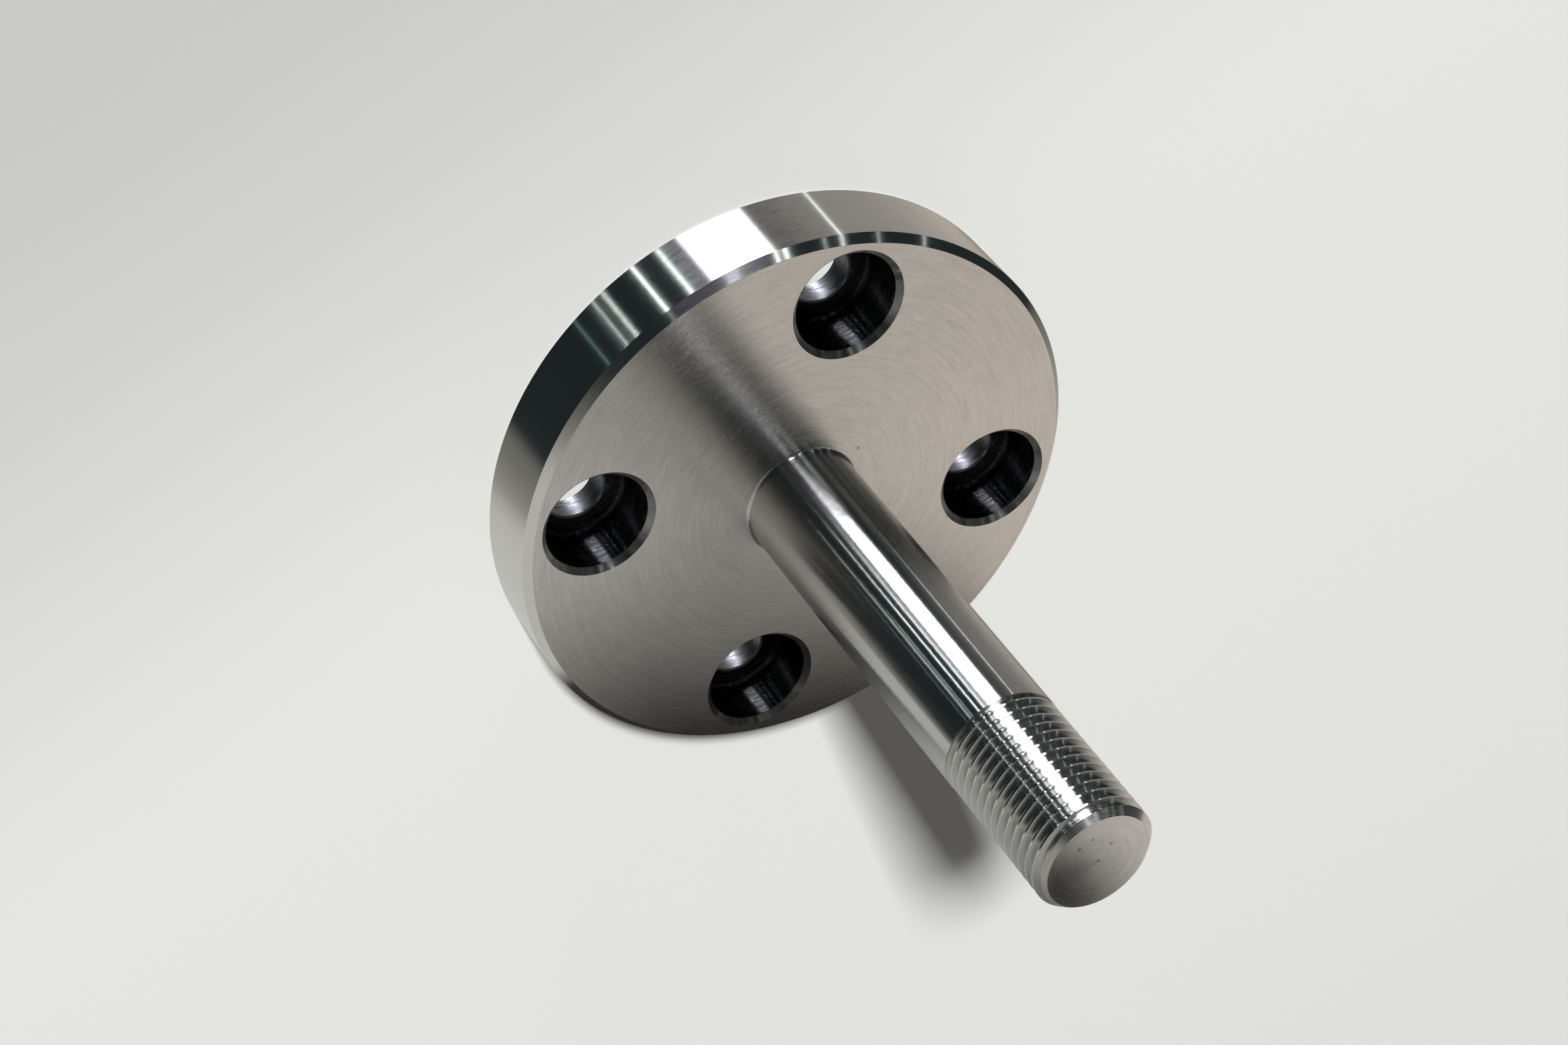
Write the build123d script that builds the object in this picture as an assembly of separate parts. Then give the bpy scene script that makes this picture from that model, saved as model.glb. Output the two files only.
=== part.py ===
from build123d import *
import os

# A flange and its shaft turned from one bar, in millimetres.
# The flange's back face lies on z = 0 and the shaft rises along +Z.

# Screws that hold the flange down
screw_count = 4
screw_diameter = 10.0
screw_clearance = 0.5
head_diameter = 16.0
head_clearance = 2.0
head_height = 10.0

# Seats that the screw heads sink into
seat_corner_radius = 0.9
seat_mouth_chamfer = 1.0
screw_hole_edge_break = 0.3

# Flange
flange_diameter = 100.0
flange_thickness = 15.0
rim_chamfer = 1.3
rim_land = 1.2
back_edge_break = 0.3

# Shaft and the blank of its thread
shaft_diameter = 20.0
root_fillet = 0.6
journal_length = 67.0
thread_length = 28.0
thread_pitch = 2.0
thread_depth_per_pitch = 0.6134
thread_blank_undersize = 0.15
thread_lead_in = 0.1

# Sizes that follow from the ones above
flange_radius = flange_diameter / 2
shaft_radius = shaft_diameter / 2
thread_radius = shaft_radius - thread_blank_undersize / 2
thread_start = flange_thickness + journal_length
overall_length = thread_start + thread_length
tip_chamfer = thread_depth_per_pitch * thread_pitch + thread_lead_in
screw_hole_radius = (screw_diameter + screw_clearance) / 2
seat_radius = (head_diameter + head_clearance) / 2
seat_floor = flange_thickness - head_height
screw_circle_radius = flange_radius - rim_chamfer - rim_land - seat_mouth_chamfer - seat_radius
cut_overrun = 1.0


def turned_blank():
    """The flange and shaft as they leave the lathe, before the holes."""
    with BuildPart() as blank:
        with BuildSketch(Plane.XZ) as half_section:
            with BuildLine():
                Polyline(
                    (0, 0),
                    (flange_radius - back_edge_break, 0),
                    (flange_radius, back_edge_break),
                    (flange_radius, flange_thickness - rim_chamfer),
                    (flange_radius - rim_chamfer, flange_thickness),
                    (shaft_radius, flange_thickness),
                    (shaft_radius, thread_start),
                    (thread_radius, thread_start),
                    (thread_radius, overall_length - tip_chamfer),
                    (thread_radius - tip_chamfer, overall_length),
                    (0, overall_length),
                    close=True,
                )
            make_face()
            root_corner = half_section.vertices().sort_by_distance((shaft_radius, flange_thickness))[0]
            fillet(root_corner, root_fillet)
        revolve(axis=Axis.Z)
    return blank.part


def screw_seat():
    """What one screw and its sunk head take out of the flange."""
    with BuildPart() as seat:
        with BuildSketch(Plane.XZ) as half_section:
            with BuildLine():
                Polyline(
                    (0, -cut_overrun),
                    (screw_hole_radius + screw_hole_edge_break + cut_overrun, -cut_overrun),
                    (screw_hole_radius, screw_hole_edge_break),
                    (screw_hole_radius, seat_floor - screw_hole_edge_break),
                    (screw_hole_radius + screw_hole_edge_break, seat_floor),
                    (seat_radius, seat_floor),
                    (seat_radius, flange_thickness - seat_mouth_chamfer),
                    (seat_radius + seat_mouth_chamfer + cut_overrun, flange_thickness + cut_overrun),
                    (0, flange_thickness + cut_overrun),
                    close=True,
                )
            make_face()
            floor_corner = half_section.vertices().sort_by_distance((seat_radius, seat_floor))[0]
            fillet(floor_corner, seat_corner_radius)
        revolve(axis=Axis.Z)
    return seat.part


def flanged_shaft():
    """The finished part: the blank with its screw seats spaced evenly round the flange."""
    with BuildPart() as part:
        add(turned_blank())
        with PolarLocations(screw_circle_radius, screw_count):
            add(screw_seat(), mode=Mode.SUBTRACT)
    part.part.label = "flanged_shaft"
    return part.part


os.makedirs("parts", exist_ok=True)
export_step(flanged_shaft(), "parts/flanged_shaft.step")
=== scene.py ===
import math

import bpy
import numpy as np
from mathutils import Matrix, Vector
from mathutils.geometry import delaunay_2d_cdt


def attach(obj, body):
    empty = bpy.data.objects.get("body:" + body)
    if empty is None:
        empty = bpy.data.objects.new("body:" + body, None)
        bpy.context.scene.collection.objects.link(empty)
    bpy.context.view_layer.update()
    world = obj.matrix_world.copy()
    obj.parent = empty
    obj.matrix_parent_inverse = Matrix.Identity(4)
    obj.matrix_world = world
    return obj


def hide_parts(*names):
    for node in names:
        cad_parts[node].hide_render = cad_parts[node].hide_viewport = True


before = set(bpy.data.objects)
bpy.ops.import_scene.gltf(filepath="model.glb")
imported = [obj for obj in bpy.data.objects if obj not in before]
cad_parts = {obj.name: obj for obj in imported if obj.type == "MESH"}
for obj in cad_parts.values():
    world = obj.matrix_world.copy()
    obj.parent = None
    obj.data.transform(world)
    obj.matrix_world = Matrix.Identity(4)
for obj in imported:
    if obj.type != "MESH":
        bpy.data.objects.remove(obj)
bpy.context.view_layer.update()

# Sizes in millimetres, the same as the part's solid
FLANGE_R = 50.0
FLANGE_T = 15.0
RIM_CHAMFER = 1.3
BACK_BREAK = 0.3
SHAFT_R = 10.0
ROOT_FILLET = 0.6
THREAD_START = 82.0
TIP_Z = 110.0
THREAD_R = 9.925
TIP_CHAMFER = 1.3268
PITCH = 2.0
SEAT_CIRCLE_R = 37.5
SEAT_R = 9.0
SEAT_FLOOR = 5.0
SEAT_CORNER = 0.9
MOUTH_CHAMFER = 1.0
HOLE_R = 5.25
HOLE_BREAK = 0.3

# Thread form, right-hand, with a crest centre at this angle and height
CREST_ANGLE = math.radians(-62.3)
CREST_Z = 83.38
THREAD_APEX_R = SHAFT_R - PITCH * 0.8660 * 7 / 8
THREAD_ROOT_ROUND = PITCH * 0.1443

# How finely the surfaces are divided
AROUND = 288
AROUND_SEAT = 96
CHAMFER_ROWS = 24
MM = 0.001

# Share of the way to a thread face's middle at which its corners take their normals
NORMAL_INSET = 0.15

# The photo's room, seen from the part: which way is up, and where the camera stands
ROOM_UP = Vector((0.0157, -0.9347, -0.3549)).normalized()
ROOM_RIGHT = Vector((-0.8678, -0.1891, 0.4596)).normalized()
CAMERA_AT = (0.24716, -0.26897, 0.37101)
CAMERA_TURN = (-42.44035, -26.86815, -167.38931)
CAMERA_FOCAL_PX = 4590.0
CAMERA_OFF_CENTRE_PX = (10.8, 295.8)
PHOTO_W = 2353

# Colours of the steel's surfaces
STEEL = (0.60, 0.585, 0.56)
SHAFT_STEEL = (0.505, 0.498, 0.487)
FACE_STEEL = (0.61, 0.583, 0.548)
THREAD_STEEL = (0.58, 0.57, 0.55)
# The seats' walls and floors are near-black and the drilled holes dark grey, far darker than the steel
# outside the seats.
SEAT_NEAR_BLACK = (0.040, 0.040, 0.043)
HOLE_DARK_GREY = (0.20, 0.20, 0.21)
MOUTH_STEEL = (0.24, 0.235, 0.225)

# Small dark marks on the face and the tip: x, y, z and radius
STAINS = [
    (17.3, -14.7, 15.0, 0.35),
    (-8.5, -9.5, 15.0, 0.35),
    (2.4, -4.7, 110.0, 0.35),
    (4.3, -3.2, 110.0, 0.5),
    (-1.3, -3.3, 110.0, 0.4),
    (0.1, -0.2, 110.0, 0.45),
]
STAIN_DEPTH = 0.5

# Lamps that the metal reflects. Each is a thin tube: the angle on the rim at which its line shows,
# half its width in degrees, its lowest and highest degree of latitude about the part, its strength and
# its tint. Later ones cover earlier ones.
WHITE_LAMP = (0.90, 1.0, 0.98)
TEAL_LAMP = (0.62, 1.0, 0.92)
VIOLET_SKY = (0.82, 0.80, 1.0)
LAMPS = [
    (-62.0, 16.0, 34.0, 58.0, 0.16, VIOLET_SKY),
    (-36.0, 0.16, -52.0, -17.0, 1.2, TEAL_LAMP),
    (-40.85, 0.20, -52.0, -38.0, 4.0, WHITE_LAMP),
    (-43.25, 0.60, -52.0, -45.0, 6.0, WHITE_LAMP),
    (-42.0, 0.40, -44.0, -38.0, 2.0, WHITE_LAMP),
    (-42.6, 0.25, -40.0, -34.0, 2.4, WHITE_LAMP),
    (-50.25, 0.26, -52.0, -34.0, 11.0, WHITE_LAMP),
    (-50.25, 0.30, 37.0, 43.0, 4.0, WHITE_LAMP),
    (-55.75, 1.1, -52.0, -18.0, 0.7, TEAL_LAMP),
    (-55.75, 0.50, -52.0, -18.0, 5.0, WHITE_LAMP),
    (-59.3, 2.4, -52.0, -20.0, 0.30, VIOLET_SKY),
    (-72.75, 0.20, -52.0, 40.0, 6.0, WHITE_LAMP),
    (-74.6, 0.45, 25.0, 46.0, 5.0, WHITE_LAMP),
    (-82.6, 0.20, 25.0, 46.0, 2.5, WHITE_LAMP),
    (-94.0, 0.15, 20.0, 46.0, 3.0, WHITE_LAMP),
    (-104.5, 0.15, 10.0, 46.0, 3.0, WHITE_LAMP),
    (-86.2, 0.20, -52.0, 40.0, 4.5, WHITE_LAMP),
    (-63.6, 2.0, 36.0, 54.0, 1.6, VIOLET_SKY),
    (-63.4, 2.0, -30.0, 10.0, 26.0, WHITE_LAMP),
    (-50.25, 0.26, -34.0, -14.0, 24.0, WHITE_LAMP),
    (-40.4, 0.40, -36.0, -14.0, 7.0, WHITE_LAMP),
    (-72.75, 0.20, 10.0, 34.0, 14.0, WHITE_LAMP),
]

# Windows that the metal reflects: the light, then each corner's longitude, latitude and the blur of the
# edge after it
WINDOWS = [
    (
        (12.0, 12.0, 13.2),
        [(-78.5, 6.0, 0.015), (-92.0, -22.0, 0.022), (-98.5, -47.0, 0.030), (-103.0, -60.0, 0.012),
         (-80.5, -60.0, 0.018), (-72.7, -44.0, 0.030), (-71.0, -12.0, 0.015)],
    ),
    (
        (22.0, 22.0, 24.0),
        [(-79.0, 8.0, 0.015), (-90.0, -15.0, 0.020), (-93.0, -26.0, 0.020), (-66.0, -26.0, 0.020),
         (-69.0, -14.0, 0.015)],
    ),
    (
        (3.6, 3.7, 4.1),
        [(-62.5, -8.0, 0.020), (-70.0, -8.0, 0.012), (-72.0, -34.0, 0.040), (-62.0, -34.0, 0.020)],
    ),
]

# Surroundings that the metal reflects. Turn runs in degrees from straight ahead to the right, elevation
# from the horizon up, and a pair gives where a change starts and where it is complete.
BACKGROUND = (0.74, 0.74, 0.71)
DARK = (0.018, 0.026, 0.029)
WALL = (0.62, 0.56, 0.50)
WALL_TOP = (0.40, 0.385, 0.37)
WALL_LEFT_TURN = (-35.0, 0.0)
WALL_RIGHT_TURN = (50.0, 24.0)
WALL_TOP_ELEVATION = (70.0, 48.0)
WALL_FADE_ELEVATION = (2.0, 40.0)
TABLE = (0.80, 0.765, 0.70)
TABLE_FAR = (0.21, 0.215, 0.20)
TABLE_FADE_ELEVATION = (-3.0, -30.0)
TABLE_EDGE = -1.0
TABLE_EDGE_DROP = -26.0
TABLE_EDGE_DROP_TURN = (52.0, 80.0)
TABLE_EDGE_BLUR = 3.0
NEAR_SIDE = (0.58, 0.58, 0.58)
NEAR_SIDE_TURN = (138.0, 166.0)
WORLD_MAP_SIZE = 2048

# The table near the part, in metres
TABLE_SIZE = 1.0
TABLE_END = (0.26, 0.13)
NEAR_SIDE_START = (0.03, 0.10)
TABLE_COOL = (0.70, 0.71, 0.69)
TABLE_WARM = (0.72, 0.675, 0.635)

# The shade on that table, in millimetres from where the rim touches it: out towards the tip, and sideways
TOUCHING = [(FLANGE_R, FLANGE_T - RIM_CHAMFER), (THREAD_R, TIP_Z - TIP_CHAMFER)]
WARM_SIDE = (-10.0, 60.0)
FOOT_SIDE = 8.0
FOOT_LIGHT = 0.04
FOOT_OUT = (0.0, 62.0)
FOOT_HALF_WIDTH = 20.0
FOOT_NARROWING = 0.3
FOOT_ENDS = (44.0, 54.0)
BEHIND_FOOT = (-10.0, -28.0)
SHAFT_SIDE = 12.0
SHAFT_NARROWNESS = 0.06
SHAFT_SHADE = 0.5
SHAFT_OUT_START = (20.0, 45.0)
SHAFT_OUT_END = (100.0, 74.0)
TIP_AHEAD = 7.0
TIP_LIGHT = 0.03
TIP_AWAY = (3.0, 18.0)

# Floor and its lamp, in metres, watts and degrees
FLOOR = (0.290, 0.290, 0.282)
FLOOR_SIZE = 6.0
FLOOR_DROP = 0.00003
FLOOR_NEAR_SHADE = 0.74
FLOOR_NEAR_LONGITUDE = -54.0
FLOOR_NEAR = (0.0, 0.14)
KEY_WATTS = 3560.0
KEY_SIZE = 0.90
KEY_DISTANCE = 10.0
KEY_LONGITUDE = -56.5
KEY_LATITUDE = 41.0


# Mesh building

class Skin:
    """Points, and faces with a normal at each corner, for one watertight mesh."""

    def __init__(self):
        self.points, self.count, self.parts = [], 0, []

    def ring(self, points):
        ids = np.arange(self.count, self.count + len(points))
        self.points.append(np.asarray(points, float))
        self.count += len(points)
        return ids

    def faces(self, corners, normals, material):
        self.parts.append((np.asarray(corners), np.asarray(normals, float), material))

    def mesh(self, name, materials):
        points = np.concatenate(self.points) * MM
        loops, sizes, normals, slots = [], [], [], []
        for corners, normal, material in self.parts:
            n, k = corners.shape
            loops.append(corners.ravel())
            sizes.append(np.full(n, k))
            normals.append(normal.reshape(-1, 3))
            slots.append(np.full(n, material))
        loops, sizes = np.concatenate(loops), np.concatenate(sizes)
        normals, slots = np.concatenate(normals), np.concatenate(slots)
        starts = np.concatenate([[0], np.cumsum(sizes)[:-1]])
        mesh = bpy.data.meshes.new(name)
        mesh.vertices.add(len(points))
        mesh.vertices.foreach_set("co", points.ravel())
        mesh.loops.add(len(loops))
        mesh.loops.foreach_set("vertex_index", loops.astype(np.int32))
        mesh.polygons.add(len(sizes))
        mesh.polygons.foreach_set("loop_start", starts.astype(np.int32))
        mesh.polygons.foreach_set("material_index", slots.astype(np.int32))
        for material in materials:
            mesh.materials.append(material)
        mesh.update(calc_edges=True)
        mesh.validate()
        mesh.shade_smooth()
        normals /= np.linalg.norm(normals, axis=1, keepdims=True)
        mesh.normals_split_custom_set(normals)
        return mesh


def rounded(corners, radii, steps=4):
    """A profile of (r, z, normal r, normal z) through the corners, each rounded to its radius."""
    corners = np.asarray(corners, float)
    directions = np.diff(corners, axis=0)
    directions /= np.linalg.norm(directions, axis=1, keepdims=True)
    normals = np.stack([directions[:, 1], -directions[:, 0]], 1)
    path = [(*corners[0], *normals[0])]
    for k in range(1, len(corners) - 1):
        before, after, radius = normals[k - 1], normals[k], radii[k]
        if radius == 0:
            path += [(*corners[k], *before), (*corners[k], *after)]
            continue
        turn = before[0] * after[1] - before[1] * after[0]
        angle = math.acos(max(-1.0, min(1.0, float(before @ after))))
        tangent = radius * math.tan(angle / 2)
        side = 1 if turn > 0 else -1
        start = corners[k] - directions[k - 1] * tangent
        centre = start - side * radius * before
        first = math.atan2(before[1], before[0])
        for step in range(steps + 1):
            a = first + side * angle * step / steps
            n = np.array([math.cos(a), math.sin(a)])
            path.append((*(centre + side * radius * n), *n))
    path.append((*corners[-1], *normals[-1]))
    return path


def circle(n):
    a = np.arange(n) * 2 * math.pi / n
    return np.stack([np.cos(a), np.sin(a)], 1)


def around(unit, r, z, centre=(0.0, 0.0)):
    flat = unit * r + np.asarray(centre)
    return np.column_stack([flat, np.full(len(unit), z)])


def sweep(skin, path, n, material_of, centre=(0.0, 0.0), first=None, last=None):
    """Turns a profile about an upright axis. Returns its first and last rings."""
    unit = circle(n)
    ring = skin.ring(around(unit, path[0][0], path[0][1], centre)) if first is None else first
    start = ring
    for k, (a, b) in enumerate(zip(path[:-1], path[1:])):
        if abs(a[0] - b[0]) + abs(a[1] - b[1]) < 1e-9:
            continue
        if last is not None and k == len(path) - 2:
            upper = last
        else:
            upper = skin.ring(around(unit, b[0], b[1], centre))
        na = np.column_stack([unit * a[2], np.full(n, a[3])])
        nb = np.column_stack([unit * b[2], np.full(n, b[3])])
        corners = np.stack([ring, np.roll(ring, -1), np.roll(upper, -1), upper], 1)
        normals = np.stack([na, np.roll(na, -1, 0), np.roll(nb, -1, 0), nb], 1)
        skin.faces(corners, normals, material_of((a[0] + b[0]) / 2, (a[1] + b[1]) / 2))
        ring = upper
    return start, ring


def cap(skin, ring, z, up, material):
    centre = skin.ring([(0.0, 0.0, z)])[0]
    n = len(ring)
    corners = np.stack([ring, np.roll(ring, -1), np.full(n, centre)], 1)
    if not up:
        corners = corners[:, ::-1]
    normals = np.tile([0, 0, 1.0 if up else -1.0], (n, 3, 1))
    skin.faces(corners, normals, material)


def flat_between(skin, outer, inner, holes, up, material):
    """Fills the plane between the outer ring, the inner ring (or none) and round holes."""
    points = np.concatenate(skin.points)
    loops = [outer] + ([inner] if inner is not None else []) + holes
    ids = np.concatenate(loops)
    coords = [Vector((points[i, 0], points[i, 1])) for i in ids]
    edges, base = [], 0
    for loop in loops:
        n = len(loop)
        edges += [(base + k, base + (k + 1) % n) for k in range(n)]
        base += n
    _, _, tris, origin, _, _ = delaunay_2d_cdt(coords, edges, [], 0, 1e-6)
    tris = np.array(tris)
    back = np.array([o[0] for o in origin])
    tris = ids[back[tris]]
    middle = points[tris][:, :, :2].mean(1)
    keep = np.ones(len(tris), bool)
    if inner is not None:
        keep &= np.hypot(*middle.T) > np.hypot(*points[inner[0], :2])
    for hole in holes:
        c = points[hole, :2].mean(0)
        keep &= np.hypot(*(middle - c).T) > np.hypot(*(points[hole[0], :2] - c))
    tris = tris[keep]
    a, b, c = (points[tris[:, k], :2] for k in range(3))
    turn = (b[:, 0] - a[:, 0]) * (c[:, 1] - a[:, 1]) - (b[:, 1] - a[:, 1]) * (c[:, 0] - a[:, 0])
    flip = (turn > 0) != up
    tris[flip] = tris[flip][:, ::-1]
    normals = np.tile([0, 0, 1.0 if up else -1.0], (len(tris), 3, 1))
    skin.faces(tris, normals, material)


# Thread

def groove(s):
    """Radius of the thread's profile at distance s along the axis from a crest's centre."""
    s = np.abs((s + PITCH / 2) % PITCH - PITCH / 2)
    d = PITCH / 2 - s
    flank = THREAD_APEX_R + d * math.sqrt(3)
    root_centre = THREAD_APEX_R + THREAD_ROOT_ROUND * 2
    reach = THREAD_ROOT_ROUND * math.cos(math.radians(30))
    arc = root_centre - np.sqrt(np.maximum(THREAD_ROOT_ROUND ** 2 - d ** 2, 0))
    return np.minimum(np.where(d < reach, arc, flank), THREAD_R)


def thread_radius(angle, z):
    s = z - CREST_Z - PITCH * (angle - CREST_ANGLE) / (2 * math.pi)
    cone = THREAD_R - (z - (TIP_Z - TIP_CHAMFER))
    return np.minimum(groove(s), cone)


def thread_normal(angle, z, radius):
    e = 1e-3
    dz = (thread_radius(angle, z + e) - thread_radius(angle, z - e)) / (2 * e)
    da = (thread_radius(angle + e, z) - thread_radius(angle - e, z)) / (2 * e)
    c, s = np.cos(angle), np.sin(angle)
    n = np.stack([c + s * da / radius, s - c * da / radius, -dz], -1)
    return n / np.linalg.norm(n, axis=-1, keepdims=True)


def profile_rows():
    """Offsets of the rows from a crest's centre over one pitch, denser where the form turns."""
    flat = (PITCH / 2 - (THREAD_R - THREAD_APEX_R) / math.sqrt(3))
    reach = THREAD_ROOT_ROUND * math.cos(math.radians(30))
    half = [0, flat, flat + 0.02, flat + 0.22, flat + 0.45, PITCH / 2 - reach, PITCH / 2 - reach / 2]
    return half + [PITCH / 2] + [PITCH - s for s in half[:0:-1]]


def thread_ring(skin, unit, z):
    """A level ring on the thread's surface."""
    level = np.full(AROUND, z)
    radius = thread_radius(unit, level)
    return skin.ring(np.column_stack([radius * np.cos(unit), radius * np.sin(unit), level]))


def thread_points(skin, unit, z, lower, upper):
    """Numbers of the points at each angle and height, where the lowest and highest ones share a ring."""
    radius = thread_radius(unit[:, None], z)
    points = np.stack([radius * np.cos(unit[:, None]), radius * np.sin(unit[:, None]), z], -1)
    at_low = z <= z.min() + 1e-9
    at_top = z >= z.max() - 1e-9
    inner = ~at_low & ~at_top
    ids = np.empty(z.shape, int)
    ids[inner] = skin.ring(points[inner])
    ids[at_low] = np.broadcast_to(lower[:, None], z.shape)[at_low]
    ids[at_top] = np.broadcast_to(upper[:, None], z.shape)[at_top]
    return ids


def next_round(grid, per_pitch, last):
    """The same rows one step further round. Past the seam they continue one pitch higher."""
    after = np.roll(grid, -1, 0)
    after[-1, :-per_pitch] = grid[0, per_pitch:]
    after[-1, -per_pitch:] = last
    return after


def thread_patch(skin, below, above_z, material):
    """The threaded stretch from its starting ring up to a level ring, on rows that follow the helix."""
    rows = np.array(profile_rows())
    unit = np.arange(AROUND) * 2 * math.pi / AROUND
    turns = int((above_z - THREAD_START) / PITCH) + 3
    offsets = np.concatenate([rows + PITCH * t for t in range(-1, turns)])
    crest = CREST_Z + PITCH * (unit - CREST_ANGLE) / (2 * math.pi)
    first = np.floor((THREAD_START - crest.min()) / PITCH) * PITCH
    z = np.clip(crest[:, None] + first + offsets[None], THREAD_START, above_z)
    lower = thread_ring(skin, unit, THREAD_START)
    upper = thread_ring(skin, unit, above_z)
    ids = thread_points(skin, unit, z, lower, upper)
    after = next_round(ids, len(rows), upper[0])
    z_after = next_round(z, len(rows), above_z)
    unit_after = unit + 2 * math.pi / AROUND
    quads = np.stack([ids[:, :-1], after[:, :-1], after[:, 1:], ids[:, 1:]], -1)
    sides = (unit, unit_after, unit_after, unit)
    angles = np.stack([np.broadcast_to(a[:, None], z[:, 1:].shape) for a in sides], -1)
    heights = np.stack([z[:, :-1], z_after[:, :-1], z_after[:, 1:], z[:, 1:]], -1)
    corners_to_faces(skin, *(grid.reshape(-1, 4) for grid in (quads, angles, heights)), material)
    wall = np.stack([below, np.roll(below, -1), np.roll(lower, -1), lower], 1)
    skin.faces(wall, np.tile([0, 0, 1.0], (AROUND, 4, 1)), material)
    return upper


def corners_to_faces(skin, quads, angles, heights, material):
    """Adds quads, without collapsed ones and with half-collapsed ones as triangles, and their normals."""
    middle_a = angles.mean(1, keepdims=True)
    middle_z = heights.mean(1, keepdims=True)
    a = angles + (middle_a - angles) * NORMAL_INSET
    z = heights + (middle_z - heights) * NORMAL_INSET
    normals = thread_normal(a, z, thread_radius(a, z))
    left = quads[:, 0] == quads[:, 3]
    right = quads[:, 1] == quads[:, 2]
    whole = ~left & ~right
    skin.faces(quads[whole], normals[whole], material)
    for which, take in ((left & ~right, [0, 1, 2]), (right & ~left, [0, 1, 3])):
        if which.any():
            skin.faces(quads[which][:, take], normals[which][:, take], material)


def chamfer_patch(skin, ring, z0, material):
    """Level rows from the thread's last full turns through the chamfer to the tip."""
    unit = np.arange(AROUND) * 2 * math.pi / AROUND
    unit_after = unit + 2 * math.pi / AROUND
    levels = np.linspace(z0, TIP_Z, CHAMFER_ROWS + 1)
    for low, high in zip(levels[:-1], levels[1:]):
        upper = thread_ring(skin, unit, high)
        quads = np.stack([ring, np.roll(ring, -1), np.roll(upper, -1), upper], 1)
        angles = np.stack([unit, unit_after, unit_after, unit], 1)
        heights = np.tile([low, low, high, high], (AROUND, 1))
        corners_to_faces(skin, quads, angles, heights, material)
        ring = upper
    return ring


# The part

FACE, RIM, SHAFT, THREAD, SEAT, BACK, HOLE, MOUTH = range(8)


def seat_surface(r, z):
    if r < HOLE_R + HOLE_BREAK * 0.9:
        return HOLE
    return MOUTH if r > SEAT_R + 0.04 else SEAT


def seat_rings(skin):
    """Four counterbored holes. Returns their rings in the front face and in the back face."""
    mouth = SEAT_R + MOUTH_CHAMFER
    corners = [
        (mouth, FLANGE_T),
        (SEAT_R, FLANGE_T - MOUTH_CHAMFER),
        (SEAT_R, SEAT_FLOOR),
        (HOLE_R + HOLE_BREAK, SEAT_FLOOR),
        (HOLE_R, SEAT_FLOOR - HOLE_BREAK),
        (HOLE_R, HOLE_BREAK),
        (HOLE_R + HOLE_BREAK, 0.0),
    ]
    radii = [0, 0.06, SEAT_CORNER, 0.06, 0.06, 0.06, 0]
    path = rounded(corners, radii, 5)
    fronts, backs = [], []
    for k in range(4):
        a = k * math.pi / 2
        centre = (SEAT_CIRCLE_R * math.cos(a), SEAT_CIRCLE_R * math.sin(a))
        first, last = sweep(skin, path, AROUND_SEAT, seat_surface, centre)
        fronts.append(first)
        backs.append(last)
    return fronts, backs


def part_skin():
    skin = Skin()
    face_edge = FLANGE_R - RIM_CHAMFER
    rim = rounded(
        [(FLANGE_R - BACK_BREAK, 0), (FLANGE_R, BACK_BREAK), (FLANGE_R, FLANGE_T - RIM_CHAMFER),
         (face_edge, FLANGE_T), (face_edge - 1, FLANGE_T)],
        [0, 0.06, 0.06, 0.06, 0],
    )[:-1]
    back_ring, face_ring = sweep(skin, rim, AROUND, lambda r, z: RIM)
    shaft = rounded(
        [(SHAFT_R + 2, FLANGE_T), (SHAFT_R, FLANGE_T), (SHAFT_R, THREAD_START), (THREAD_R, THREAD_START)],
        [0, ROOT_FILLET, 0.0, 0],
        6,
    )[1:-2]
    root_ring, start_ring = sweep(skin, shaft, AROUND, lambda r, z: SHAFT)
    level = TIP_Z - TIP_CHAMFER - 0.3
    ring = thread_patch(skin, start_ring, level, THREAD)
    ring = chamfer_patch(skin, ring, level, FACE)
    cap(skin, ring, TIP_Z, True, FACE)
    fronts, backs = seat_rings(skin)
    flat_between(skin, face_ring, root_ring, fronts, True, FACE)
    flat_between(skin, back_ring, None, backs, False, BACK)
    return skin


# Shader nodes

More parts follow.
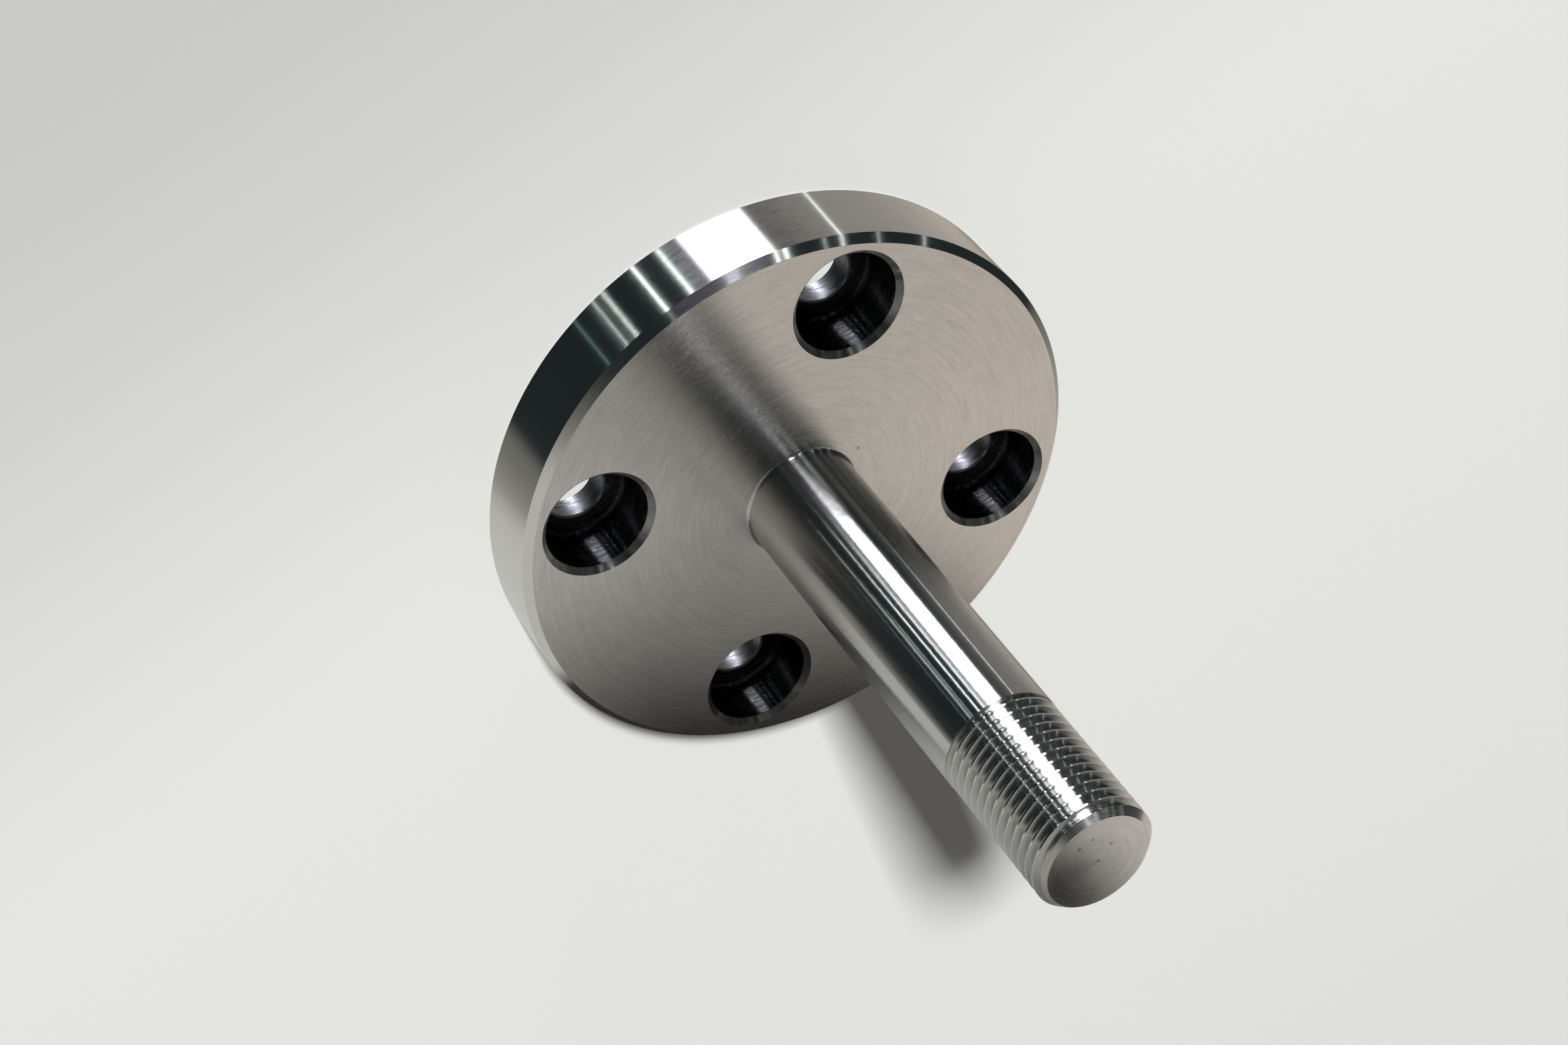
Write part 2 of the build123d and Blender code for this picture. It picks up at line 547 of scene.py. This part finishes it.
class Graph:
    """Short hand for building a shader's nodes."""

    def __init__(self, tree):
        self.tree = tree

    def node(self, kind, **props):
        n = self.tree.nodes.new(kind)
        for key, value in props.items():
            setattr(n, key, value)
        return n

    def feed(self, socket, value):
        if isinstance(value, bpy.types.NodeSocket):
            self.tree.links.new(value, socket)
        else:
            socket.default_value = value

    def math(self, operation, *values, clamp=False):
        n = self.node("ShaderNodeMath", operation=operation, use_clamp=clamp)
        for socket, value in zip(n.inputs, values):
            self.feed(socket, value)
        return n.outputs[0]

    def times(self, *values):
        product = values[0]
        for value in values[1:]:
            product = self.math("MULTIPLY", product, value)
        return product

    def plus(self, *values):
        total = values[0]
        for value in values[1:]:
            total = self.math("ADD", total, value)
        return total

    def vector(self, operation, *values):
        n = self.node("ShaderNodeVectorMath", operation=operation)
        for socket, value in zip(n.inputs, values):
            self.feed(socket, value)
        return n

    def scaled(self, v, by):
        n = self.vector("SCALE", v)
        self.feed(n.inputs["Scale"], by)
        return n.outputs[0]

    def dot(self, a, b):
        return self.vector("DOT_PRODUCT", a, tuple(b)).outputs["Value"]

    def join(self, x, y, z):
        n = self.node("ShaderNodeCombineXYZ")
        for socket, value in zip(n.inputs, (x, y, z)):
            self.feed(socket, value)
        return n.outputs[0]

    def split(self, v):
        n = self.node("ShaderNodeSeparateXYZ")
        self.feed(n.inputs[0], v)
        return n.outputs

    def step(self, value, low, high, to_low=0.0, to_high=1.0):
        """to_low below low, to_high above high, smooth between."""
        n = self.node("ShaderNodeMapRange", interpolation_type="SMOOTHSTEP")
        if low > high:
            low, high, to_low, to_high = high, low, to_high, to_low
        values = {"Value": value, "From Min": low, "From Max": high, "To Min": to_low, "To Max": to_high}
        for key, v in values.items():
            self.feed(n.inputs[key], v)
        return n.outputs["Result"]

    def noise(self, vector, scale, detail=2.0, roughness=0.5):
        n = self.node("ShaderNodeTexNoise")
        self.feed(n.inputs["Vector"], vector)
        self.feed(n.inputs["Scale"], scale)
        self.feed(n.inputs["Detail"], detail)
        self.feed(n.inputs["Roughness"], roughness)
        return n.outputs["Fac"]

    def mix(self, factor, a, b, blend="MIX"):
        n = self.node("ShaderNodeMix", data_type="RGBA", blend_type=blend)
        colours = [s for s in n.inputs if s.type == "RGBA"]
        self.feed([s for s in n.inputs if s.name == "Factor" and s.type == "VALUE"][0], factor)
        for socket, v in zip(colours, (a, b)):
            self.feed(socket, v if isinstance(v, bpy.types.NodeSocket) else (*v, 1.0))
        return [s for s in n.outputs if s.type == "RGBA"][0]


# Materials

def feed_marks(g, x, y, z, depth):
    """Sideways tilt of short nicks along the tool's feed, in broken rows round the axis."""
    waver = g.noise(g.join(g.times(x, 0.35), g.times(y, 0.35), g.times(z, 0.5)), 1.0, 1.0)
    phase = g.math("FRACT", g.plus(g.times(z, 1.45), g.times(waver, 1.6)))
    line = g.step(g.math("ABSOLUTE", g.math("SUBTRACT", phase, 0.5)), 0.16, 0.06)
    gaps = g.noise(g.join(g.times(x, 0.8), g.times(y, 0.8), g.times(z, 2.1)), 1.0, 1.0)
    ways = g.noise(g.join(g.times(x, 0.9), g.times(y, 0.9), g.times(z, 3.0)), 1.0, 1.0)
    return g.times(line, g.step(gaps, 0.44, 0.54), g.math("SUBTRACT", ways, 0.5), depth)


def spots(g, at, places):
    """1 in small ragged spots at the given places, 0 elsewhere. A place is x, y, z and a radius."""
    ragged = g.math("SUBTRACT", g.noise(at, 3.0, 3.0, 0.7), 0.5)
    total = 0.0
    for *place, radius in places:
        distance = g.vector("DISTANCE", at, tuple(place)).outputs["Value"]
        away = g.plus(distance, g.times(ragged, radius * 1.6))
        total = g.math("MAXIMUM", total, g.step(away, radius, radius * 0.35))
    return total


def from_seat_axis(g, at):
    """A place on the part, measured from the axis of the nearest screw seat."""
    x, y, _ = g.split(at)
    near_x = g.math("GREATER_THAN", g.math("ABSOLUTE", x), g.math("ABSOLUTE", y))
    centre_x = g.times(near_x, g.math("SIGN", x), SEAT_CIRCLE_R)
    centre_y = g.times(g.math("SUBTRACT", 1.0, near_x), g.math("SIGN", y), SEAT_CIRCLE_R)
    return g.vector("SUBTRACT", at, g.join(centre_x, centre_y, 0.0)).outputs[0]


def ring_noise(g, x, y, across, along_scale, across_scale, detail=2.0):
    """Noise drawn out along the turning marks."""
    place = g.join(g.times(x, along_scale), g.times(y, along_scale), g.times(across, across_scale))
    return g.noise(place, 1.0, detail)


def grooved_normal(g, round_way, mark, groove_slope, sideways=None):
    """The normal, tilted across the marks by the grooves and along them by any nicks."""
    normal = g.node("ShaderNodeNewGeometry").outputs["Normal"]
    crosswise = g.vector("NORMALIZE", g.vector("CROSS_PRODUCT", round_way, normal).outputs[0]).outputs[0]
    slope = g.times(mark, g.plus(1.0, g.times(mark, mark, 14.0)), groove_slope)
    tilted = g.vector("ADD", normal, g.scaled(crosswise, slope)).outputs[0]
    if sideways is not None:
        tilted = g.vector("ADD", tilted, g.scaled(round_way, sideways)).outputs[0]
    return g.vector("NORMALIZE", tilted).outputs[0]


def turned(name, colour, roughness, spread, groove_slope, mottle, own_axis=False, nicks=0.0, fineness=15.0,
           anisotropy=1.0, rings_tone=0.0, stains=(), painted_glints=0.0):
    """Steel with turning marks round its axis: mirror-like along them, widely scattering across them."""
    material = bpy.data.materials.new(name)
    material.use_nodes = True
    bsdf = material.node_tree.nodes["Principled BSDF"]
    g = Graph(material.node_tree)
    on_part = g.scaled(g.node("ShaderNodeTexCoord").outputs["Object"], 1000.0)
    at = from_seat_axis(g, on_part) if own_axis else on_part
    x, y, z = g.split(at)
    r = g.math("SQRT", g.plus(g.times(x, x), g.times(y, y)))
    across = g.math("SUBTRACT", r, z)
    round_way = g.vector("NORMALIZE", g.join(g.times(y, -1.0), x, 0.0)).outputs[0]

    mark = g.math("SUBTRACT", ring_noise(g, x, y, across, 0.5, fineness), 0.5)
    sideways = feed_marks(g, x, y, z, nicks) if nicks else None
    g.feed(bsdf.inputs["Normal"], grooved_normal(g, round_way, mark, groove_slope, sideways))
    rough_rings = ring_noise(g, x, y, across, 0.3, 2.6)
    g.feed(bsdf.inputs["Roughness"], g.step(rough_rings, 0.40, 0.70, roughness, roughness + spread))

    cloud = g.noise(at, 0.33, 4.0, 0.6)
    fleck = g.noise(g.join(g.times(x, 1.1), g.times(y, 1.1), g.times(across, 2.4)), 1.0, 3.0, 0.6)
    shade = g.plus(1.0 - mottle, g.times(g.plus(cloud, fleck), mottle))
    if rings_tone:
        tone_rings = g.math("SUBTRACT", ring_noise(g, x, y, across, 0.12, 1.9, 3.0), 0.5)
        shade = g.plus(shade, g.times(tone_rings, rings_tone))
    if stains:
        shade = g.times(shade, g.math("SUBTRACT", 1.0, g.times(spots(g, on_part, stains), STAIN_DEPTH)))
    # Painted glints: bright flecks added to the base colour, standing in for light catching the tool marks.
    if painted_glints:
        glint = g.noise(g.join(g.times(x, 0.9), g.times(y, 0.9), g.times(across, 1.6)), 1.0, 3.0, 0.7)
        shade = g.plus(shade, g.step(glint, 0.60, 0.66, 0.0, painted_glints))
    g.feed(bsdf.inputs["Base Color"], g.scaled(colour, shade))
    bsdf.inputs["Metallic"].default_value = 1.0
    bsdf.inputs["Anisotropic"].default_value = anisotropy
    bsdf.inputs["Anisotropic Rotation"].default_value = 0.25
    g.feed(bsdf.inputs["Tangent"], round_way)
    return material


def faced_steel():
    return turned("steel_faced", FACE_STEEL, roughness=0.245, spread=0.04, groove_slope=0.12, mottle=0.16,
                  anisotropy=0.90, rings_tone=0.32, stains=STAINS)


def rim_steel():
    return turned("steel_rim", STEEL, roughness=0.15, spread=0.02, groove_slope=0.16, mottle=0.03)


def shaft_steel():
    return turned("steel_shaft", SHAFT_STEEL, roughness=0.18, spread=0.02, groove_slope=0.32, mottle=0.02,
                  nicks=0.10, fineness=42.0)


def thread_steel():
    return turned("steel_thread", THREAD_STEEL, roughness=0.15, spread=0.04, groove_slope=0.12, mottle=0.06)


def bored_steel():
    return turned("steel_bored", SEAT_NEAR_BLACK, roughness=0.22, spread=0.15, groove_slope=0.6, mottle=0.10,
                  own_axis=True, painted_glints=3.0)


def back_steel():
    return turned("steel_back", STEEL, roughness=0.22, spread=0.12, groove_slope=0.5, mottle=0.10,
                  rings_tone=0.16)


def drilled_steel():
    return turned("steel_drilled", HOLE_DARK_GREY, roughness=0.44, spread=0.12, groove_slope=2.2, mottle=0.20,
                  own_axis=True, fineness=3.0, anisotropy=0.55)


def mouth_steel():
    return turned("steel_mouth", MOUTH_STEEL, roughness=0.30, spread=0.15, groove_slope=0.6, mottle=0.45,
                  own_axis=True)


def steel_materials():
    """The materials in the order of the surface numbers FACE to MOUTH."""
    return [faced_steel(), rim_steel(), shaft_steel(), thread_steel(), bored_steel(), back_steel(),
            drilled_steel(), mouth_steel()]


def build_part():
    mesh = part_skin().mesh("turned_shaft", steel_materials())
    piece = bpy.data.objects.new("turned_shaft", mesh)
    bpy.context.collection.objects.link(piece)
    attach(piece, "root")
    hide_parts("flanged_shaft")
    return piece


# Stage

def heading(longitude, latitude):
    """A direction from the part, by degrees round its axis from +X and above its own level."""
    a, b = math.radians(longitude), math.radians(latitude)
    return Vector((math.cos(a) * math.cos(b), math.sin(a) * math.cos(b), math.sin(b)))


def window_mask(g, direction, window):
    """1 inside a window with straight edges, 0 outside it."""
    corners = [heading(longitude, latitude) for longitude, latitude, _ in window]
    middle = sum(corners, Vector((0, 0, 0))).normalized()
    mask = 1.0
    for a, b, (_, _, blur) in zip(corners, corners[1:] + corners[:1], window):
        n = a.cross(b).normalized()
        if n.dot(middle) < 0:
            n = -n
        mask = g.math("MULTIPLY", mask, g.step(g.dot(direction, n), -blur, blur))
    return mask


def tube_mask(g, direction, rim_angle, half_width, low, high):
    """A lamp along the small circle of directions that one line across the rim reflects."""
    a = math.radians(rim_angle)
    outward, along = Vector((math.cos(a), math.sin(a), 0)), Vector((-math.sin(a), math.cos(a), 0))
    to_camera = (Vector(CAMERA_AT) - outward * FLANGE_R * MM).normalized()
    off = g.math("ABSOLUTE", g.math("ADD", g.dot(direction, along), to_camera.dot(along)))
    half = math.radians(half_width)
    level = g.dot(direction, (0, 0, 1))
    ends = g.times(
        g.step(level, math.sin(math.radians(high + 1)), math.sin(math.radians(high - 1))),
        g.step(level, math.sin(math.radians(low)), math.sin(math.radians(low + 6))),
    )
    facing = g.math("GREATER_THAN", g.dot(direction, outward), 0.0)
    return g.times(g.step(off, half * 1.25, half * 0.75), ends, facing)


def near_side(g, turn):
    """1 towards the camera, where the table lies in the viewer's shade, and 0 elsewhere."""
    return g.step(g.math("ABSOLUTE", turn), *NEAR_SIDE_TURN)


def degrees(g, angle):
    return g.math("MULTIPLY", angle, 180 / math.pi)


def room_colour(g, direction):
    """A pale table below the horizon, a warm wall in front, a dark room elsewhere, windows and lamps."""
    right, ahead = g.dot(direction, ROOM_RIGHT), g.dot(direction, ROOM_UP.cross(ROOM_RIGHT))
    elevation = degrees(g, g.math("ARCSINE", g.dot(direction, ROOM_UP)))
    turn = degrees(g, g.math("ARCTAN2", right, ahead))
    wall = g.times(
        g.step(turn, *WALL_LEFT_TURN),
        g.step(turn, *WALL_RIGHT_TURN),
        g.step(elevation, *WALL_TOP_ELEVATION),
    )
    colour = g.mix(wall, DARK, g.mix(g.step(elevation, *WALL_FADE_ELEVATION), WALL, WALL_TOP))
    table = g.mix(g.step(elevation, *TABLE_FADE_ELEVATION), TABLE_FAR, TABLE)
    table = g.mix(near_side(g, turn), table, NEAR_SIDE, "MULTIPLY")
    edge = g.plus(TABLE_EDGE, g.times(g.step(turn, *TABLE_EDGE_DROP_TURN), TABLE_EDGE_DROP))
    above_edge = g.math("SUBTRACT", elevation, edge)
    colour = g.mix(g.step(above_edge, TABLE_EDGE_BLUR, -TABLE_EDGE_BLUR), colour, table)
    for light, corners in WINDOWS:
        colour = g.mix(window_mask(g, direction, corners), colour, light)
    for *place, light, tint in LAMPS:
        colour = g.mix(tube_mask(g, direction, *place), colour, tuple(light * c for c in tint))
    return colour


def room_world():
    world = bpy.data.worlds.new("room")
    bpy.context.scene.world = world
    world.use_nodes = True
    world.node_tree.nodes.clear()
    g = Graph(world.node_tree)
    direction = g.node("ShaderNodeTexCoord").outputs["Generated"]
    lights = g.node("ShaderNodeBackground")
    g.feed(lights.inputs["Color"], room_colour(g, direction))
    sky = g.node("ShaderNodeBackground")
    sky.inputs["Color"].default_value = (*BACKGROUND, 1)
    path = g.node("ShaderNodeLightPath")
    both = g.node("ShaderNodeMixShader")
    g.feed(both.inputs[0], path.outputs["Is Camera Ray"])
    g.feed(both.inputs[1], lights.outputs[0])
    g.feed(both.inputs[2], sky.outputs[0])
    out = g.node("ShaderNodeOutputWorld")
    g.feed(out.inputs[0], both.outputs[0])
    world.cycles.sampling_method = "MANUAL"
    world.cycles.sample_map_resolution = WORLD_MAP_SIZE


def plane(name, size, matrix):
    """A square of the stage, with the plain material that its builder changes."""
    h = size / 2
    mesh = bpy.data.meshes.new(name)
    mesh.from_pydata([(-h, -h, 0), (h, -h, 0), (h, h, 0), (-h, h, 0)], [], [(0, 1, 2, 3)])
    obj = bpy.data.objects.new(name, mesh)
    obj.matrix_world = matrix
    bpy.context.collection.objects.link(obj)
    material = bpy.data.materials.new(name)
    material.use_nodes = True
    mesh.materials.append(material)
    return obj


def over_screw_hole(g, x, y):
    """1 within a screw hole and 0 elsewhere."""
    x, y = g.math("ABSOLUTE", x), g.math("ABSOLUTE", y)
    off = g.math("SUBTRACT", g.math("MAXIMUM", x, y), SEAT_CIRCLE_R * MM)
    aside = g.math("MINIMUM", x, y)
    radius = (HOLE_R + HOLE_BREAK) * MM
    return g.math("LESS_THAN", g.plus(g.times(off, off), g.times(aside, aside)), radius ** 2)


def build_floor():
    """A pale floor, open under the screw holes so that they show the pale backdrop."""
    floor = plane("floor", FLOOR_SIZE, Matrix.Translation((0, 0, -FLOOR_DROP)))
    floor.visible_glossy = False
    floor.visible_diffuse = False
    floor.visible_shadow = False
    tree = floor.data.materials[0].node_tree
    g = Graph(tree)
    x, y, _ = g.split(g.node("ShaderNodeTexCoord").outputs["Object"])
    near = g.dot(g.join(x, y, 0.0), heading(FLOOR_NEAR_LONGITUDE, 0.0))
    matt = tree.nodes["Principled BSDF"]
    matt.inputs["Roughness"].default_value = 1.0
    matt.inputs["Specular IOR Level"].default_value = 0.0
    g.feed(matt.inputs["Base Color"], g.scaled(FLOOR, g.step(near, *FLOOR_NEAR, 1.0, FLOOR_NEAR_SHADE)))
    blend = g.node("ShaderNodeMixShader")
    g.feed(blend.inputs[0], over_screw_hole(g, x, y))
    g.feed(blend.inputs[1], matt.outputs[0])
    g.feed(blend.inputs[2], g.node("ShaderNodeBsdfTransparent").outputs[0])
    g.feed(tree.nodes["Material Output"].inputs["Surface"], blend.outputs[0])
    return floor


def in_millimetres(g, distance):
    return g.times(distance, 1000.0)


def foot_shade(g, out, side):
    """The light left in front of the flange's foot: little close to it, all beside and behind it."""
    off = g.math("ABSOLUTE", g.math("SUBTRACT", side, FOOT_SIDE))
    beside = g.math("MAXIMUM", g.math("SUBTRACT", off, FOOT_HALF_WIDTH), 0.0)
    light = g.step(g.plus(out, g.times(beside, FOOT_NARROWING)), *FOOT_OUT, FOOT_LIGHT, 1.0)
    return g.math("MAXIMUM", light, g.math("MAXIMUM", g.step(off, *FOOT_ENDS), g.step(out, *BEHIND_FOOT)))


def shaft_shade(g, out, side):
    """The light left under the shaft."""
    across = g.times(g.math("SUBTRACT", side, SHAFT_SIDE), SHAFT_NARROWNESS)
    under = g.times(
        g.math("EXPONENT", g.times(across, across, -1.0)),
        g.step(out, *SHAFT_OUT_START),
        g.step(out, *SHAFT_OUT_END),
    )
    return g.math("SUBTRACT", 1.0, g.times(under, SHAFT_SHADE))


def table_light(g, at, matrix):
    """How much light the table keeps at a place, and how far to the side that place lies."""
    foot, tip = (matrix.inverted() @ lowest_point(r, z) for r, z in TOUCHING)
    along = (tip - foot).normalized()
    aside = Vector((0, 0, 1)).cross(along)
    out = in_millimetres(g, g.math("SUBTRACT", g.dot(at, along), foot.dot(along)))
    side = in_millimetres(g, g.math("SUBTRACT", g.dot(at, aside), foot.dot(aside)))
    darkest = tip + along * TIP_AHEAD * MM
    away = in_millimetres(g, g.vector("DISTANCE", at, tuple(darkest)).outputs["Value"])
    at_tip = g.step(away, *TIP_AWAY, TIP_LIGHT, 1.0)
    return g.times(foot_shade(g, out, side), shaft_shade(g, out, side), at_tip), side


def build_table():
    """A pale table that rim and tip touch, leaning as in the photo. Only reflections show it. It glows, and
    its shadows are painted into the glow.
    """
    rotation = ROOM_UP.to_track_quat("Z", "Y").to_matrix().to_4x4()
    matrix = Matrix.Translation(-ROOM_UP * table_drop()) @ rotation
    table = plane("table", TABLE_SIZE, matrix)
    table.visible_camera = False
    table.visible_diffuse = False
    table.visible_shadow = False
    tree = table.data.materials[0].node_tree
    tree.nodes.remove(tree.nodes["Principled BSDF"])
    g = Graph(tree)
    at = g.node("ShaderNodeTexCoord").outputs["Object"]
    light, side = table_light(g, at, matrix)
    to_table = matrix.to_3x3().inverted()
    right, ahead = g.dot(at, to_table @ ROOM_RIGHT), g.dot(at, to_table @ ROOM_UP.cross(ROOM_RIGHT))
    turn = degrees(g, g.math("ARCTAN2", right, ahead))
    distance = g.vector("LENGTH", at).outputs["Value"]
    shaded = g.times(near_side(g, turn), g.step(distance, *NEAR_SIDE_START))
    nearer = g.mix(shaded, (1.0, 1.0, 1.0), NEAR_SIDE)
    tint = g.mix(g.step(side, *WARM_SIDE), TABLE_COOL, TABLE_WARM)
    lit = g.node("ShaderNodeEmission")
    g.feed(lit.inputs["Color"], g.mix(1.0, tint, nearer, "MULTIPLY"))
    # Painted shadow: the glow is dimmed at the flange's foot, under the shaft and at the tip.
    g.feed(lit.inputs["Strength"], light)
    blend = g.node("ShaderNodeMixShader")
    g.feed(blend.inputs[0], g.step(distance, *TABLE_END))
    g.feed(blend.inputs[1], g.node("ShaderNodeBsdfTransparent").outputs[0])
    g.feed(blend.inputs[2], lit.outputs[0])
    g.feed(tree.nodes["Material Output"].inputs["Surface"], blend.outputs[0])
    return table


def lowest_point(r, z):
    """Where the circle of that radius and height comes nearest the table."""
    across = math.hypot(ROOM_UP.x, ROOM_UP.y)
    return Vector((-ROOM_UP.x / across * r, -ROOM_UP.y / across * r, z)) * MM


def table_drop():
    """How far below the origin the table lies, so that it touches rim and tip."""
    across = math.hypot(ROOM_UP.x, ROOM_UP.y)
    return max(r * across - z * ROOM_UP.z for r, z in TOUCHING) * MM


def build_key(floor):
    """Soft studio light on the floor from beside the camera."""
    lit = bpy.data.collections.new("lit_by_key")
    lit.objects.link(floor)
    light = bpy.data.lights.new("key", "AREA")
    light.energy = KEY_WATTS
    light.size = KEY_SIZE
    obj = bpy.data.objects.new("key", light)
    position = heading(KEY_LONGITUDE, KEY_LATITUDE) * KEY_DISTANCE
    obj.location = position
    obj.rotation_euler = (-position).to_track_quat("-Z", "Y").to_euler()
    bpy.context.collection.objects.link(obj)
    obj.light_linking.receiver_collection = lit


def build_camera():
    """The camera of the photo, fitted to the outlines of the rim, seats, shaft and tip."""
    camera = bpy.data.cameras.new("camera")
    camera.sensor_width = 36.0
    camera.lens = CAMERA_FOCAL_PX / PHOTO_W * 36.0
    camera.shift_x = -CAMERA_OFF_CENTRE_PX[0] / PHOTO_W
    camera.shift_y = CAMERA_OFF_CENTRE_PX[1] / PHOTO_W
    camera.clip_start = 0.01
    camera.clip_end = 20.0
    obj = bpy.data.objects.new("camera", camera)
    obj.location = CAMERA_AT
    obj.rotation_euler = [math.radians(a) for a in CAMERA_TURN]
    bpy.context.collection.objects.link(obj)
    bpy.context.scene.camera = obj


build_part()
build_key(build_floor())
build_table()
room_world()
build_camera()
bpy.context.scene.view_settings.view_transform = "Standard"
